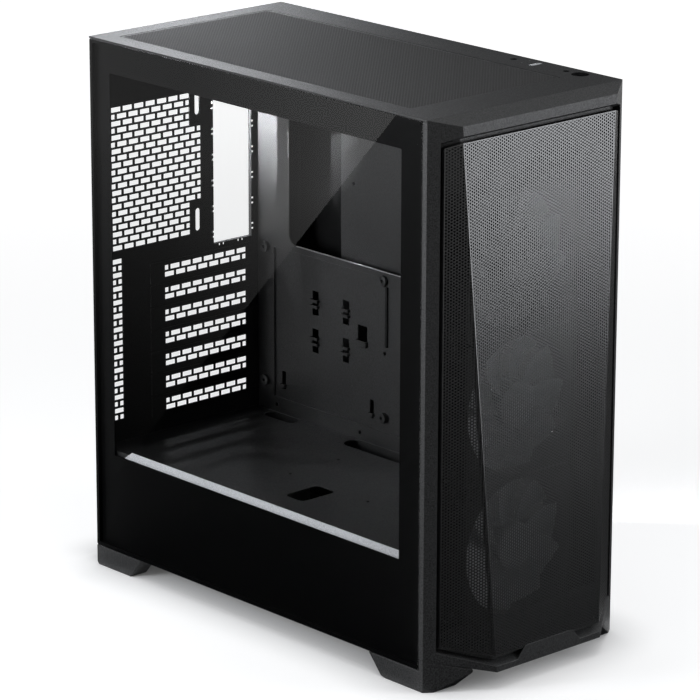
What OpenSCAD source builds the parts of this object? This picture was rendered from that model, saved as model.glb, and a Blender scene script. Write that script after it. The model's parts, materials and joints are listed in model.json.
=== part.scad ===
// Mid-tower computer case with a glass side, a folded mesh front and three front fans.
// Frame: +X to the right, the front faces -Y, +Z up; the feet stand on z = 0.

/* [Case] */
// Width over the two side panels
case_w = 218; // [217:0.5:220]
// Height from the floor to the roof
case_h = 475; // [474:0.5:478]
// Depth of the side panels
side_d = 412; // [411:0.5:414]
// Height of the feet
foot_h = 18; // [17.5:0.5:18.5]
// Thickness of the folded steel
sheet = 1; // [0.8:0.1:1]
// Thickness of the side glass
glass_t = 4; // [3:0.5:4]

/* [Front bezel] */
// Distance from the front corners to the chin
bezel_d = 35.7; // [35:0.1:36.5]
// Angle of the two side facets, in degrees from the front
facet_angle = 35.8; // [35:0.1:36.5]
// Backward lean of the front facet, in degrees
front_tilt = 2.44; // [2.2:0.02:2.6]
// Width between the rear edges of the mesh panel
mesh_w = 194; // [192:0.5:195]
// Thickness of the mesh panel's sheet
mesh_t = 1; // [0.8:0.1:1.2]
// Number of openings across the mesh panel
mesh_across = 12; // [8:1:12]
// Number of rows of openings in the mesh panel
mesh_rows = 24; // [18:1:26]

/* [Window] */
// Lower edge of the clear window
window_low = 105; // [104:0.5:108]
// Width of the black border above the window
window_top_border = 27.5; // [25:0.5:30]
// Width of the black border in front of the window
window_front_border = 28; // [27:0.5:30]
// Width of the black border behind the window
window_rear_border = 22; // [20:0.5:24]

/* [Motherboard and rear] */
// Left face of the motherboard tray
tray_x = 77; // [76.8:0.1:77.2]
// Top face of the power supply shroud
shroud_z = 108.5; // [108:0.5:109]

/* [Fans] */
// Height of the lowest fan's axis
fan_low_z = 99.5; // [99:0.5:100.5]
// Distance from one fan axis to the next
fan_pitch = 121; // [120.5:0.5:122]
// Number of blades on a rotor
blades = 9; // [7:2:11]

/* [Controls] */
// Radius of the power button
power_r = 7.4; // [7:0.1:7.4]
// Radius of the reset button
reset_r = 2.6; // [2.4:0.1:3]
// Travel of the two buttons
button_travel = 2; // [1:0.5:2]

/* [Hidden] */
$fn = 48;

// Main planes
half_w = case_w / 2;
thumb_h = 7;                                  // thumbscrew heads behind the rear edge
total_d = side_d + thumb_h + 5.3 + bezel_d;
rear_y = total_d / 2 - thumb_h;               // rear edge of the side panels
side_front = rear_y - side_d;                 // front edge of the side panels
corner_y = side_front - 5.3;                  // front corners of the case
chin_y = corner_y - bezel_d;                  // foremost edge of the chin
panel_gap = 0.3;
rivet_r = 2.3;
seam = 0.05;                                  // between sheets that are riveted together
bezel_back = side_front - panel_gap;
rear_in = rear_y - 1 - sheet;                 // inner face of the rear panel
rear_out = rear_y - 1;
left_x = -half_w + glass_t + 2;               // left side of the steel chassis
right_x = half_w - 3;                         // right side of the steel chassis
floor_z = foot_h;
roof_t = 1.4;
cover_z = case_h - roof_t;                    // underside of the roof cover
panel_top = cover_z - panel_gap;              // top and bottom edges of the side panels
panel_low = foot_h + panel_gap;
frame_top = cover_z;                          // top face of the top frame
wall_y = side_front + 23;                     // front face of the fan wall

// Front bezel
facet_slope = tan(facet_angle);
chin_z = 15.5;
under_corner_z = 27;
under_slope = (under_corner_z - chin_z) / bezel_d;
visor_slope = 0.34;
win_half = 100.3;                             // half width of the bezel's window
win_slope = 0.45;
win_top_z = 456.7 + case_h - 475;             // window edges at win_y
win_low_z = 33.6;
win_y = corner_y - 6.7;
ledge_off = 6.5;                              // depth of the ledge that carries the mesh
ledge_w = 6.3;
mesh_off = 1.2;                               // the mesh sits this far behind the frame's faces
mesh_gap = 5;
mesh_bar = 2.8;                               // bars between the openings of the mesh panel
mesh_low_z = 36.8;
mesh_low_slope = 0.343;
mesh_low_y = corner_y - 9.2;
tab_base = 71;                                // pull tab in the middle of the chin
tab_top = 54;
tab_z = 30.6;
clip_zs = [60, 250, 440];
clip_x = 97.5;
clip_r = 2.9;

// Rear panel
brick_w = 12.8;                               // pitch of the brick-shaped vents
brick_h = 6.15;
web_x = 2.1;
web_z = 1.75;
vent_rows = 21;                               // rows of bricks behind the rear fan
vent_halves = [14, 18];                       // half bricks in its outer and inner rows
vent_outer = 5;                               // number of outer rows above and below
edge_x = -94.7;                               // narrow column of vents at the left edge
edge_z = 269.7;
edge_rows = 24;
fan_x = -43.6;                                // rear fan position
fan_z = 346.3;
fan_hole_pitch = 105;
fan_slot_len = 20.5;
fan_slot_r = 2.6;
io_x = 27.3;                                  // input and output aperture
io_w = 44.45;
io_z = 268;
io_h = 158.75;
notch = [2.4, 1.8];                           // pairs of clip notches round the aperture
notch_pair = 4.6;
notch_step = 23.4;
slots = 7;                                    // expansion slots, at the standard pitch
slot_pitch = 20.32;
slot_top_z = 253.8;                           // centre of the highest slot
slot_x0 = -30.1;                              // vents of a slot cover
slot_halves = 15;
slot_end = -46;                               // bent end of the slot covers
bent_d = 7.5;                                 // depth of the bent ends behind the panel
psu_x = 0;                                    // power supply opening
psu_z = 65;
psu_holes = [[-69, 37], [-69, -27], [69, -37], [45, 37]];
psu_hole_r = 2;
psu_filter_y0 = rear_y - 170;                 // slide-out filter under the power supply
psu_filter_t = 3.5;
psu_rail_x = 80;
thumb_x = right_x - 6;
thumb_zs = [60, 430];
thumb_hole_r = 1.9;
thumb_r = 6;
side_lip = 16;                                // the panel's side flanges
low_lip = 14;                                 // flanges that stand on the floor panel

// Motherboard tray
recess = 1.5;                                 // depth of the pressed-back area
recess_z = [121.5, 262];                      // its lower and upper edges
recess_y = [-40, rear_y - 25];                // its front and rear edges
recess_step = [rear_y - 163, 200];            // its lower front part
pass_y = -79;                                 // column of cable passes
pass_zs = [140, 225, 330];
pass_size = [26, 55];
pass_r = 12;
tie_hole_r = 1.8;
bridge_t = 1;                                 // bridges over the cable tie slots
bridge_h = 3;
cable_y0 = rear_in - 44;                      // processor cut-out
cable_len = 160;
cable_z0 = 268;
cable_z1 = 400;
board_ys = [rear_y - 14.7, rear_y - 14.7 - 154.94, rear_y - 14.7 - 227.33];
board_top_z = 417.4;
board_zs = [board_top_z - 281.94, board_top_z - 157.48, board_top_z];
board_hole_r = 1.6;
board_face = tray_x - 3;

// Power supply shroud and drive cage
cage_y0 = -152;
cage_y1 = -46;
cage_x0 = -72;
cage_z0 = floor_z + sheet;
bay_h = 36;                                   // room for one drive
tray_w = 103;
tray_rail = [2.5, 22];                        // thickness and height of a tray's side rails
drive_x = -56;
drive_hole_xs = [0, 41.61, 101.6];            // side holes of a 3.5 inch drive
drive_hole_r = 1.8;
shroud_lip = 16;
shroud_passes = [[[62, rear_y - 65], [75.5, rear_y - 25.7], 6.7],    // corners and radius
                 [[57, rear_y - 216], [75.5, rear_y - 135], 9.2],
                 [[-73.3, rear_y - 232], [-34.9, rear_y - 209], 5]];
shroud_holes = [[-31.8, rear_y - 169.8], [24.8, rear_y - 169.2], [-32.5, rear_y - 268.7]];
flange_y = side_front + 28;                   // rear edge of the front wall's left flange
rail_front = flange_y + 0.5;                  // light strip beside the shroud
rail_rear = rear_y - 32.2;
rail_z0 = 92;
rail_z1 = 111.7;

// Roof, filter and front controls
filter_x = [-93, 77];
filter_y = [rear_y - 381, rear_y - 18.6];
filter_r = 6;
filter_gap = 0.35;
io_strip_x = 96.6;
power_y = rear_y - 381.5;
reset_y = rear_y - 365.4;
usb_y = rear_y - 330;
jack_y = rear_y - 304.5;
light_ys = [rear_y - 317.9, rear_y - 316.8];
light_xs = [92.8, 103.1];
board_z = case_h - 20;
jack_r = 1.75;
jack_nose_r = 3;
usb_size = [13.1, 5.7];
usb_wall = 0.45;
stem_r = 1.5;                                 // stems of the two buttons
light_r = 1;
io_x0 = 87.6;                                 // housing of the front controls
io_x1 = right_x - 0.4;
io_y0 = power_y - 9.5;
io_y1 = jack_y + 8;
io_wall = 0.8;
roof_fan_x = -8;                              // fan openings under the filter
roof_fan_ys = [-68, 72];
roof_slot = [12, 4.6];                        // their slotted screw holes
roof_lip = 12;

// Fans, of the standard size
fan_size = 120;
fan_depth = 25;
fan_y0 = wall_y - fan_depth;
fan_zs = [for (i = [0:2]) fan_low_z + i * fan_pitch];
fan_hole_r = 2.15;
bore_r = 58;
hub_r = 20;
shaft_r = 1.5;
running = 0.05;                               // radial clearance of what turns or slides
fan_front = 1.5;
camber_r = 27;                                // arc of a blade's section, its centre and span
camber_at = [-15, -9.5];
camber_arc = [26, 88];
blade_t = 1.6;
blade_lean = 16;

// Glass studs and foot pads
pad_t = 1.2;
front_foot_back = 59.2;                       // its rear end, behind the side panel's front edge
front_foot_w = 34.5;
rear_foot_len = 60;
rear_foot_w = 22;
stud_r = 3;
socket_len = 9;
socket_wall = 2;
stud_ys = [side_front + 22, rear_in - 9];
stud_zs = [44, 458];

module block(a, b) { translate(a) cube(b - a); }
module along_x(x, y, z) { translate([x, y, z]) rotate([0, 90, 0]) children(); }
module along_y(x, y, z) { translate([x, y, z]) rotate([-90, 0, 0]) children(); }
// An outline drawn in X and Z, made into a plate from y0 to y1
module upright(y0, y1) { translate([0, y1, 0]) rotate([90, 0, 0]) linear_extrude(y1 - y0) children(); }
// An outline drawn in Y and Z, made into a plate from x0 to x1
module sideways(x0, x1) {
    translate([x0, 0, 0]) rotate([90, 0, 90]) linear_extrude(x1 - x0) children();
}
module rounded(a, b, r) {
    translate(a + [r, 0]) square([b[0] - a[0] - 2 * r, b[1] - a[1]]);
    translate(a + [0, r]) square([b[0] - a[0], b[1] - a[1] - 2 * r]);
    for (x = [a[0] + r, b[0] - r], y = [a[1] + r, b[1] - r]) translate([x, y]) circle(r);
}
module oblong_z(x, z, len, r) { rounded([x - r, z - len / 2], [x + r, z + len / 2], r * 0.999); }

// One row of bricks, counted in half bricks, starting with a half brick or a whole one
module brick_row(halves, lead) {
    full = floor((halves - lead) / 2);
    tail = halves - lead - 2 * full;
    h = brick_h - web_z;
    if (lead == 1) square([brick_w / 2 - web_x, h]);
    for (i = [0:full - 1]) translate([(lead / 2 + i) * brick_w, 0]) square([brick_w - web_x, h]);
    if (tail == 1) translate([(lead / 2 + full) * brick_w, 0]) square([brick_w / 2 - web_x, h]);
}

// ---- chassis ----
module fan_vents() {
    for (r = [0:vent_rows - 1]) {
        halves = vent_halves[r >= vent_outer && r < vent_rows - vent_outer ? 1 : 0];
        translate([fan_x - halves * brick_w / 4 + web_x / 2,
                   fan_z + (vent_rows / 2 - r - 1) * brick_h]) brick_row(halves, r % 2);
    }
}
module edge_vents() {
    for (r = [0:edge_rows - 1]) translate([edge_x, edge_z - r * brick_h]) brick_row(3, (r + 1) % 2);
}
module io_notches() {
    reach = notch[0] / 2;
    for (i = [0:6], s = [-1, 1]) translate([io_x, io_z + 9 + i * notch_step + s * notch_pair / 2]) {
        translate([-reach, 0]) square(notch, center = true);
        translate([io_w + reach, 0]) square(notch, center = true);
    }
    for (x = [9, 31], s = [-1, 1]) translate([io_x + x + s * notch_pair / 2, io_z - reach])
        rotate(90) square(notch, center = true);
}
module rear_panel() color("#26272a") {
    difference() {
        union() {
            upright(rear_in, rear_out) difference() {
                translate([left_x, floor_z]) square([right_x - left_x, frame_top - sheet - floor_z]);
                fan_vents();
                edge_vents();
                for (x = [-1, 1], z = [-1, 1])
                    oblong_z(fan_x + x * fan_hole_pitch / 2, fan_z + z * fan_hole_pitch / 2,
                             fan_slot_len, fan_slot_r);
                translate([io_x, io_z]) square([io_w, io_h]);
                io_notches();
                for (i = [0:slots - 1]) translate([0, slot_top_z - i * slot_pitch]) {
                    translate([slot_x0 - 4, -7]) square([102, 14]);
                    translate([slot_end - 0.4, -9]) square([sheet + 1.8, 18]);
                }
                difference() {
                    translate([psu_x - 74, psu_z - 41.5]) square([148, 83]);
                    for (p = psu_holes) translate([psu_x + p[0], psu_z + p[1]]) circle(7);
                }
                for (p = psu_holes) translate([psu_x + p[0], psu_z + p[1]]) circle(psu_hole_r);
                for (z = thumb_zs) translate([thumb_x, z]) circle(thumb_hole_r);
            }
            // Side flanges
            block([left_x, rear_in - side_lip, floor_z + sheet],
                  [left_x + sheet, rear_in - seam, frame_top - 2]);
            block([right_x - sheet, rear_in - side_lip + 4, floor_z + sheet],
                  [right_x, rear_in - seam, frame_top - 2]);
        }
        for (z = stud_zs)
            along_x(left_x - 1, stud_ys[1], z) cylinder(r = stud_r + socket_wall, h = sheet + 2);
    }
}

module floor_panel() color("#222326") {
    difference() {
        union() {
            block([left_x, side_front, floor_z], [right_x, rear_in, floor_z + sheet]);
            block([left_x + sheet + 0.2, wall_y + 3, floor_z + sheet],
                  [left_x + 2 * sheet + 0.2, rear_in - side_lip - 2, floor_z + low_lip]);
        }
        // Vents under the power supply
        translate([0, 0, floor_z - 1]) linear_extrude(sheet + 2)
            for (x = [-6:6], y = [0:3]) translate([x * 10 - 2.5, 72 + y * 34]) square([5, 28]);
        // Holes for the drive cage
        for (x = [-60, 60], y = [cage_y0 + 20, cage_y1 - 20])
            translate([x, y, floor_z - 1]) cylinder(r = fan_hole_r, h = sheet + 2);
    }
}

// The fan wall is a pan, set back behind its rim
module front_wall() color("#1c1d20") {
    pan_x = [-88, 91];
    pan_z = [30, 446];
    difference() {
        union() {
            block([left_x, side_front, floor_z + sheet], [right_x, wall_y + sheet, frame_top - sheet]);
            block([left_x, side_front + 1, floor_z + low_lip], [left_x + sheet, flange_y, frame_top - 2]);
            block([right_x - sheet, side_front + 1, floor_z + low_lip],
                  [right_x, side_front + 40, frame_top - 2]);
        }
        // Inside of the pan
        block([pan_x[0], side_front - 1, pan_z[0]], [pan_x[1], wall_y, pan_z[1]]);
        // Space behind the rim
        difference() {
            block([left_x + sheet, side_front + sheet, floor_z + 2 * sheet],
                  [right_x - sheet, wall_y + 50, frame_top - 3 * sheet]);
            block([pan_x[0] - sheet, side_front, pan_z[0] - sheet],
                  [pan_x[1] + sheet, wall_y + sheet, pan_z[1] + sheet]);
        }
        for (z = fan_zs) {
            along_y(0, wall_y - 1, z) cylinder(r = bore_r, h = sheet + 2);
            for (x = [-1, 1], s = [-1, 1])
                along_y(x * fan_hole_pitch / 2, wall_y - 1, z + s * fan_hole_pitch / 2)
                    cylinder(r = fan_hole_r, h = sheet + 2);
        }
        // Room for the front controls
        block([io_x0 - 1, io_y0 - 1, board_z - 4], [right_x + 1, wall_y + 50, case_h]);
        for (x = [-1, 1], z = clip_zs)
            along_y(x * clip_x, side_front - 1, z) cylinder(r = clip_r + 0.4, h = 3);
        for (z = stud_zs)
            along_x(left_x - 1, stud_ys[0], z) cylinder(r = stud_r + socket_wall, h = sheet + 2);
    }
}

function hook_places() = [for (y = [79.7, 119.6], z = [220.1, 185.4]) [rear_y - y, z]];
function tie_places() = [for (y = [37.5, 153.5]) [rear_y - y, 139.3]];

// Outline of the tray's pressed-back area
module tray_recess() {
    polygon([[recess_y[1], recess_z[0]], [recess_y[1], recess_z[1]], [recess_step[0], recess_z[1]],
             recess_step, [recess_y[0], recess_step[1]], [recess_y[0], recess_z[0]]]);
}
module motherboard_tray() color("#2b2c2f")
    sideways(tray_x, tray_x + sheet) difference() {
        translate([wall_y + sheet, floor_z + sheet])
            square([rear_in - 2.3 - wall_y - sheet, frame_top - 2 * sheet - floor_z]);
        tray_recess();
        // Processor cut-out and the cable passes beside the board
        rounded([cable_y0 - cable_len, cable_z0], [cable_y0, cable_z1], 9);
        for (z = pass_zs)
            rounded([pass_y - pass_size[0] / 2, z], [pass_y + pass_size[0] / 2, z + pass_size[1]], pass_r);
        // Openings under the shroud
        rounded([cage_y0 - 2, floor_z - 3], [cage_y1 + 2, cage_z0 + 2 * bay_h + 6], 2);
        rounded([-30, floor_z + 8], [150, shroud_z - 12], 8);
        for (y = [-29.3, -139.7]) translate([rear_y + y, 115.2]) circle(tie_hole_r);
        for (y = board_ys, z = board_zs) translate([y, z]) circle(board_hole_r);
    }
// The pressed-back area with its step and the bridges over the cable tie slots
module tray_pressing() color("#2b2c2f") {
    deep_x = tray_x + recess;
    difference() {
        union() {
            sideways(deep_x, deep_x + sheet) tray_recess();
            sideways(tray_x, deep_x + sheet) difference() {
                offset(delta = -seam) tray_recess();
                offset(delta = -sheet) tray_recess();
            }
        }
        sideways(tray_x - 1, deep_x + 2) {
            for (p = hook_places()) translate(p) square([8, 22], center = true);
            for (p = tie_places()) translate(p) square([5, 17], center = true);
            translate([rear_y - 141, 202.8]) square([12, 20], center = true);
            for (z = [214, 193.6]) translate([board_ys[1], z]) circle(tie_hole_r);
            for (y = board_ys, z = board_zs) translate([y, z]) circle(board_hole_r);
        }
    }
    for (p = hook_places(), s = [-1, 1]) bridge(deep_x, p + [0, s * 2.6], 10, 2.4);
    for (p = tie_places()) bridge(deep_x, p + [0, -4.5], 7, 3);
    bridge(deep_x, [rear_y - 141, 197], 14, 5);
}
// A bridge standing off the tray in front of face x, centred on a place, to put a cable tie through
module bridge(x, place, len, width) {
    translate([x - bridge_h, place[0] - len / 2, place[1] - width / 2]) {
        cube([bridge_t, len, width]);
        for (y = [0, len - bridge_t]) translate([0, y, 0]) cube([bridge_h + 0.5, bridge_t, width]);
    }
}
// Threaded seats for the motherboard's screws; those on the pressed area are longer
module board_standoffs() color("#3a3b3f")
    for (y = board_ys, z = board_zs) {
        deep = y > recess_y[0] && y < recess_y[1]
               && z < (y > recess_step[0] ? recess_z[1] : recess_step[1]);
        along_x(board_face, y, z) difference() {
            cylinder(r = 5, h = tray_x + (deep ? recess : 0) - board_face);
            translate([0, 0, -1]) cylinder(r = board_hole_r, h = 9);
        }
    }

module psu_shroud() color("#242528") {
    difference() {
        union() {
            block([left_x + sheet, wall_y + sheet, shroud_z - sheet], [tray_x, rear_in, shroud_z]);
            block([left_x + sheet, wall_y + 6, floor_z + shroud_lip],
                  [left_x + 2 * sheet, rear_in - side_lip - 2, shroud_z]);
        }
        translate([0, 0, shroud_z - 2 * sheet]) linear_extrude(4 * sheet) {
            for (p = shroud_passes) rounded(p[0], p[1], p[2]);
            for (p = shroud_holes) translate(p) circle(1.6);
        }
    }
}

// Upright light strip along the shroud's left edge, with a sloping rear end
module window_rail() color("#b9bcc0")
    sideways(left_x, left_x + sheet)
        polygon([[rail_front, rail_z0], [rail_rear, rail_z0], [rail_rear, window_low - 0.8],
                 [rail_rear - 10.6, rail_z1], [rail_front, rail_z1]]);

module top_frame() color("#202124") {
    difference() {
        union() {
            block([left_x, side_front, frame_top - sheet], [right_x, rear_y - 2, frame_top]);
            block([left_x + 1.2, wall_y + 24, frame_top - roof_lip],
                  [left_x + 1.2 + sheet, rear_in - side_lip - 2, frame_top]);
            block([right_x - 1.2 - sheet, io_y1 + 2, frame_top - roof_lip],
                  [right_x - 1.2, rear_in - side_lip - 2, frame_top]);
        }
        translate([0, 0, frame_top - 2 * sheet]) linear_extrude(4 * sheet) {
            // Two fan openings and their slotted holes
            for (y = roof_fan_ys) translate([roof_fan_x, y]) {
                circle(fan_size / 2);
                for (s = [-1, 1], t = [-1, 1])
                    rounded([s * fan_hole_pitch, t * fan_hole_pitch] / 2 - roof_slot / 2,
                            [s * fan_hole_pitch, t * fan_hole_pitch] / 2 + roof_slot / 2,
                            roof_slot[1] * 0.4994);
            }
            for (i = [0:9]) rounded([-80 + i * 15, 146], [-70 + i * 15, 186], 4.9);
            rounded([io_x0 - 1, io_y0 - 1], [right_x + 3, io_y1 + 1], 2);
        }
    }
}

module roof_cover() color("#4a4b4e") {
    difference() {
        block([-half_w, corner_y + 0.1, cover_z], [half_w, rear_y, case_h]);
        translate([0, 0, cover_z - 1]) linear_extrude(roof_t + 2) {
            rounded([filter_x[0], filter_y[0]], [filter_x[1], filter_y[1]], filter_r);
            translate([io_strip_x, usb_y]) square([usb_size[0] + 0.2, usb_size[1] + 0.2], center = true);
            translate([io_strip_x, jack_y]) circle(jack_nose_r + 0.2);
            translate([io_strip_x, reset_y]) circle(reset_r + 0.3);
            translate([io_strip_x, power_y]) circle(power_r + 0.3);
            for (i = [0:1]) translate([light_xs[i], light_ys[i]]) circle(light_r);
        }
    }
}

// Two posts tie the tray to the right side of the chassis
module side_struts() color("#202124")
    for (y = [wall_y + 12, rear_in - 30])
        block([tray_x + recess + sheet + 0.2, y, floor_z + sheet], [right_x - 3, y + sheet, board_z - 4]);

module ssd_plate() color("#2b2c2f") {
    x = tray_x + 8;
    y0 = rear_y - 215;
    y1 = rear_y - 105.8;
    difference() {
        union() {
            block([x, y0, 246], [x + sheet, y1, 404]);
            for (y = [y0, y1 - 8]) block([tray_x + sheet, y, 408], [x + sheet, y + 8, 409]);
            for (y = [y0, y1 - 8]) block([x, y, 404], [x + sheet, y + 8, 409]);
        }
        for (y = [y0 + 16, y1 - 16], z = [262, 336]) along_x(x - 1, y, z) cylinder(r = 1.7, h = 4);
    }
}

// Two upright sides joined by three shelves
module drive_cage() color("#303136") {
    pitch = bay_h + 2;
    for (y = [cage_y0, cage_y1 - sheet])
        block([cage_x0, y, cage_z0], [tray_x - 1, y + sheet, cage_z0 + 2 * pitch + sheet]);
    for (i = [0:2])
        block([cage_x0, cage_y0 + sheet + seam, cage_z0 + i * pitch],
              [tray_x - 1, cage_y1 - sheet - seam, cage_z0 + i * pitch + sheet]);
}

// Drive tray: a bottom, two side rails and a handle at its right end
module drive_tray(i) {
    z = cage_z0 + sheet + 0.3 + i * (bay_h + 2);
    x = [cage_x0 + 3, tray_x - 2];
    y = (cage_y0 + cage_y1 - tray_w) / 2;
    difference() {
        union() {
            block([x[0], y, z], [x[1], y + tray_w, z + 2]);
            for (side = [y, y + tray_w - tray_rail[0]])
                block([x[0], side, z], [x[1], side + tray_rail[0], z + tray_rail[1]]);
            block([x[1] - 3, y, z], [x[1], y + tray_w, z + bay_h - 3]);
        }
        // Window in the bottom and the handle's opening
        block([cage_x0 + 30, y + 20, z - 1], [tray_x - 40, y + tray_w - 20, z + 5]);
        block([x[1] - 4, y + 30, z + 10], [x[1] + 2, y + tray_w - 30, z + 22]);
        for (hole = drive_hole_xs, side = [y - 1, y + tray_w - 4])
            along_y(drive_x + hole, side, z + 8) cylinder(r = drive_hole_r, h = 6);
    }
}

// ---- expansion slots ----
module slot_ledge() color("#26272a") {
    x = slot_end + sheet;
    low = slot_top_z - (slots - 1) * slot_pitch - 12;
    high = slot_top_z + 12;
    difference() {
        union() {
            block([x, rear_out, low], [x + sheet, rear_out + bent_d, high]);
            for (z = [low, high - 2.6]) block([x, rear_out, z], [x + 8, rear_out + sheet, z + 2.6]);
        }
        for (i = [0:slots - 1])
            along_x(x - 1, rear_out + bent_d / 2 + 0.25, slot_top_z - i * slot_pitch)
                cylinder(r = 1.5, h = 4);
    }
}
module slot_cover(i) color("#1f2023") translate([0, 0, slot_top_z - i * slot_pitch]) {
    x1 = slot_x0 + slot_halves * brick_w / 2 + 2.4;
    h = slot_pitch - 1.9;
    upright(rear_in - sheet, rear_in) difference() {
        translate([slot_end, -h / 2]) square([x1 - slot_end, h]);
        for (r = [0:1]) translate([slot_x0, 0.9 - r * brick_h]) brick_row(slot_halves, 1 - r);
    }
    // Bent end with the screw's hole
    difference() {
        block([slot_end, rear_in + seam, -8], [slot_end + sheet, rear_out + bent_d, 8]);
        along_x(slot_end - 1, rear_out + bent_d / 2 + 0.25, 0) cylinder(r = 1.9, h = 3);
    }
}
module slot_screws() color("#3a3b3f")
    for (i = [0:slots - 1]) along_x(slot_end, rear_out + bent_d / 2 + 0.25, slot_top_z - i * slot_pitch) {
        cylinder(r = 1.45, h = 4);
        translate([0, 0, -2.2]) difference() {
            cylinder(r = 3.4, h = 2.2);
            translate([0, 0, -1]) cylinder(r = 1.4, h = 2.2);
        }
    }

// ---- feet ----
function under_z(y) = under_corner_z + under_slope * (y - corner_y);
module plan(off) {
    w = half_w - off;
    y = corner_y - facet_slope * off + off * norm([1, facet_slope]);
    polygon([[-w, rear_y], [-w, y], [0, y - facet_slope * w], [w, y], [w, rear_y]]);
}
module front_foot() color("#2f3033") {
    y0 = side_front + front_foot_back;
    y1 = corner_y - 26;
    under = panel_gap + 0.1;
    intersection() {
        sideways(-half_w, -half_w + front_foot_w)
            polygon([[y0, floor_z], [y0 - 14.8, pad_t], [y0 - 20.5, 0], [corner_y - 5, 0],
                     [y1, under_z(y1) - under], [bezel_back, under_z(bezel_back) - under],
                     [bezel_back, floor_z]]);
        linear_extrude(foot_h + 20) plan(0);
        translate([-half_w, 0, 0]) upright(y1 - 1, y0 + 1)
            polygon([[0, -1], [front_foot_w - 2.5, -1], [front_foot_w, 30], [0, 30]]);
    }
}
module rear_foot() color("#2f3033") {
    y0 = rear_y - rear_foot_len;
    intersection() {
        sideways(-half_w, -half_w + rear_foot_w)
            polygon([[rear_y - 2.2, 0], [rear_y, 2.4], [rear_y, floor_z], [y0, floor_z], [y0 + 13.5, 0]]);
        translate([-half_w, 0, 0]) upright(y0 - 10, rear_y + 1)
            polygon([[0, -1], [rear_foot_w - 4.3, -1], [rear_foot_w - 0.5, 30], [0, 30]]);
    }
}
// A rubber pad on side s, let into the underside of a foot
module pad_block(s, a, b)
    block([min(s * a[0], s * b[0]), a[1], 0], [max(s * a[0], s * b[0]), b[1], pad_t]);
module foot_front_left() difference() { front_foot(); foot_pads(); }
module foot_front_right() difference() { mirror([1, 0, 0]) front_foot(); foot_pads(); }
module foot_rear_left() difference() { rear_foot(); foot_pads(); }
module foot_rear_right() difference() { mirror([1, 0, 0]) rear_foot(); foot_pads(); }
module foot_pads() color("#121214")
    for (s = [-1, 1]) {
        pad_block(s, [half_w - 28, side_front + 6], [half_w - 7, side_front + 32]);
        pad_block(s, [half_w - 15, rear_y - 40], [half_w - 4, rear_y - 10]);
    }

// ---- power supply bay ----
module psu_pads() color("#101012")
    for (x = [-62, 62], y = [rear_in - 24, rear_in - 146])
        block([x - 6, y, floor_z + sheet], [x + 6, y + 18, floor_z + sheet + 3]);
module psu_filter_rails() color("#1a1b1d")
    for (s = [-1, 1]) translate([s > 0 ? 0 : -psu_rail_x * 2, 0, 0]) {
        x = psu_rail_x - (s > 0 ? 3 : 0);
        block([x, psu_filter_y0 - 2, floor_z - 5.2], [x + 3, rear_y - 3, floor_z]);
        lip = psu_rail_x - (s > 0 ? 6 : 0);
        block([lip, psu_filter_y0 - 2, floor_z - 5.2], [lip + 6, rear_y - 3, floor_z - 4.4]);
    }
// Four fields of gauze in a slide-out frame
module filter_fields() {
    half = [32, 35];
    for (s = [-1, 1], y = [44, 123]) translate([s * 36, psu_filter_y0 + y]) rounded(-half, half, 3);
}
module psu_filter_frame() color("#151618") {
    z0 = floor_z - 4.1;
    half = psu_rail_x - 3.4;
    difference() {
        union() {
            block([-half, psu_filter_y0, z0], [half, rear_y - 2, z0 + psu_filter_t]);
            block([-22, rear_y - 2, z0 - 2], [22, rear_y, z0 + psu_filter_t]);
        }
        translate([0, 0, z0 - 1]) linear_extrude(6) filter_fields();
    }
}
module psu_filter_mesh() color("#2a2b2d")
    translate([0, 0, floor_z - 2.6]) linear_extrude(0.5) filter_fields();

// ---- side panels ----
// Snap sockets in the chassis take the ball studs of the glass panel
module panel_sockets() color("#17181a")
    for (y = stud_ys, z = stud_zs) along_x(left_x - 0.6, y, z) difference() {
        union() {
            cylinder(r = stud_r + socket_wall - running, h = socket_len);
            cylinder(r = stud_r + socket_wall + 1.6, h = 0.6);
        }
        translate([0, 0, -1]) cylinder(r = stud_r + running, h = socket_len);
    }
module glass_studs() color("#8b8d92")
    for (y = stud_ys, z = stud_zs) along_x(-half_w + glass_t + 1, y, z) {
        cylinder(r = stud_r * 2 / 3, h = 6);
        translate([0, 0, 5]) sphere(stud_r);
    }
module side_glass() color("#30343a", 0.4)
    sideways(-half_w, -half_w + glass_t) rounded([side_front, panel_low], [rear_y, panel_top], 1.5);
module glass_frame() color("#111214")
    sideways(-half_w + glass_t, -half_w + glass_t + 1) difference() {
        rounded([side_front + 3, floor_z + 3], [rear_y - 2, panel_top - 3], 3);
        rounded([side_front + window_front_border, window_low],
                [rear_y - window_rear_border, panel_top - window_top_border], 1);
    }
module right_panel() color("#2a2b2e") {
    difference() {
        union() {
            sideways(half_w - sheet, half_w) rounded([side_front, panel_low], [rear_y, panel_top], 1.5);
            // Folded hem
            sideways(right_x + 0.4, half_w - sheet) difference() {
                rounded([side_front + 0.5, floor_z + 0.5], [rear_y, panel_top - 0.5], 1.5);
                rounded([side_front + 9, floor_z + 9], [rear_y - 5, panel_top - 9], 2);
            }
            block([thumb_x - 7, rear_out, floor_z + 6], [half_w - 0.2, rear_y, panel_top - 6]);
        }
        for (z = thumb_zs) along_y(thumb_x, rear_out - 1, z) cylinder(r = 2.2, h = 4);
    }
}
module panel_thumbscrews() color("#1b1c1e")
    for (z = thumb_zs) {
        along_y(thumb_x, rear_out - 5, z) cylinder(r = thumb_hole_r - 0.25, h = 8);
        along_y(thumb_x, rear_y, z) difference() {
            union() {
                cylinder(r = thumb_r - 1.4, h = 1.4);
                cylinder(r = thumb_r, h = thumb_h, $fn = 12);
            }
            translate([0, 0, thumb_h - 2]) linear_extrude(3) {
                square([1.2, 7], center = true);
                square([7, 1.2], center = true);
            }
        }
    }

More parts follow.
